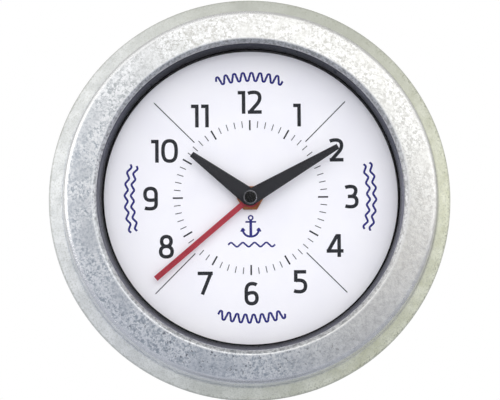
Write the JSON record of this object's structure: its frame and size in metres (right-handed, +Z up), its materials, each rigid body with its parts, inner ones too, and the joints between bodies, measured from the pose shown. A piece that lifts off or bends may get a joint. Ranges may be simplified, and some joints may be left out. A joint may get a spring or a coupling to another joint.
{
  "type": "tide clock",
  "caption": "Round wall clock in a galvanised bezel: white numbered dial under glass, dark hour and minute hands and a red tide hand, on a battery quartz movement.",
  "frame": {"origin": "where the axis of the hands meets the wall that the clock hangs on", "axes": "+Z up, +Y into the wall, the dial faces -Y, +X to the viewer's right"},
  "size_m": [0.22, 0.0371, 0.22],
  "materials": {
    "galvanised_steel": "satin",
    "lens_glass": "polished",
    "black_rubber": "matte",
    "black_gloss_plastic": "gloss",
    "white_dial": "satin",
    "black_plastic": "matte",
    "zinc_steel": "satin",
    "movement_plastic": "matte",
    "brass": "satin",
    "arbor_steel": "satin",
    "wheel_plastic": "satin",
    "ferrite": "matte",
    "copper_wire": "satin",
    "board_brown": "satin",
    "crystal_can": "satin",
    "black_resin": "gloss",
    "battery_jacket": "satin",
    "contact_steel": "satin",
    "knob_plastic": "satin",
    "hand_charcoal": "satin",
    "hand_red": "satin",
    "black_nut": "gloss"
  },
  "bodies": {
    "case": {"front_bezel": "galvanised_steel", "glass_lens": "lens_glass", "lens_gasket": "black_rubber", "dial_spacer_ring": "black_gloss_plastic", "dial_plate": "white_dial", "rear_casing": "black_plastic", "bezel_brackets": "zinc_steel", "case_screws": "zinc_steel", "hanger_plate": "zinc_steel", "hanger_screws": "zinc_steel", "movement_front_case": "movement_plastic", "movement_back_case": "movement_plastic", "middle_plate": "movement_plastic", "movement_screws": "zinc_steel", "threaded_bushing": "brass", "rubber_washer": "black_rubber", "brass_washer": "brass", "hex_nut": "brass", "stator": "arbor_steel", "coil_bobbin": "wheel_plastic", "coil_winding": "copper_wire", "circuit_board": "board_brown", "quartz_crystal": "crystal_can", "control_chip": "black_resin", "negative_contact": "contact_steel", "positive_contact": "contact_steel"},
    "minute": {"minute_hand": "hand_charcoal", "minute_arbor": "arbor_steel", "centre_wheel": "wheel_plastic", "cap_nut": "black_nut"},
    "hour": {"hour_hand": "hand_charcoal", "hour_wheel": "wheel_plastic", "tide_drive_gear": "wheel_plastic"},
    "tide": {"tide_hand": "hand_red", "tide_wheel": "wheel_plastic"},
    "minute_wheel_and_knob": {"minute_wheel": "wheel_plastic", "time_set_knob": "knob_plastic"},
    "tide_idler_and_knob": {"tide_idler": "wheel_plastic", "tide_set_knob": "knob_plastic"},
    "third": {"third_wheel": "wheel_plastic"},
    "fourth": {"fourth_wheel": "wheel_plastic"},
    "fifth": {"fifth_wheel": "wheel_plastic"},
    "rotor": {"rotor_pinion": "wheel_plastic", "rotor_magnet": "ferrite"},
    "battery": {"battery": "battery_jacket"}
  },
  "joints": [
    {"name": "minute_turn", "type": "hinge", "parent": "case", "child": "minute", "pos_m": [0, 0, 0], "axis": [0, 1, 0], "continuous": true},
    {"name": "hour_turn", "type": "hinge", "parent": "case", "child": "hour", "pos_m": [0, 0, 0], "axis": [0, 1, 0], "continuous": true},
    {"name": "tide_turn", "type": "hinge", "parent": "case", "child": "tide", "pos_m": [0, 0, 0], "axis": [0, 1, 0], "continuous": true},
    {"name": "minute_wheel_turn", "type": "hinge", "parent": "case", "child": "minute_wheel_and_knob", "pos_m": [0, 0, -0.01], "axis": [0, 1, 0], "continuous": true},
    {"name": "tide_idler_turn", "type": "hinge", "parent": "case", "child": "tide_idler_and_knob", "pos_m": [-0.0123, 0, 0.0123], "axis": [0, 1, 0], "continuous": true},
    {"name": "third_turn", "type": "hinge", "parent": "case", "child": "third", "pos_m": [0.00846, 0, -0.00308], "axis": [0, 1, 0], "continuous": true},
    {"name": "fourth_turn", "type": "hinge", "parent": "case", "child": "fourth", "pos_m": [0.01271, 0, 0.00428], "axis": [0, 1, 0], "continuous": true},
    {"name": "fifth_turn", "type": "hinge", "parent": "case", "child": "fifth", "pos_m": [0.01527, 0, 0.01133], "axis": [0, 1, 0], "continuous": true},
    {"name": "rotor_turn", "type": "hinge", "parent": "case", "child": "rotor", "pos_m": [0.01077, 0, 0.01669], "axis": [0, 1, 0], "continuous": true},
    {"name": "battery_slide", "type": "slide", "parent": "case", "child": "battery", "axis": [0, 1, 0], "range_m": [0, 0.018]}
  ],
  "couplings": [
    {"joint": "hour_turn", "follows": "minute_turn", "ratio": 0.083333},
    {"joint": "tide_turn", "follows": "minute_turn", "ratio": 0.080508},
    {"joint": "minute_wheel_turn", "follows": "minute_turn", "ratio": -0.33333},
    {"joint": "tide_idler_turn", "follows": "minute_turn", "ratio": -0.080508},
    {"joint": "third_turn", "follows": "minute_turn", "ratio": -8},
    {"joint": "fourth_turn", "follows": "minute_turn", "ratio": 60},
    {"joint": "fifth_turn", "follows": "minute_turn", "ratio": -300},
    {"joint": "rotor_turn", "follows": "minute_turn", "ratio": 1800}
  ]
}
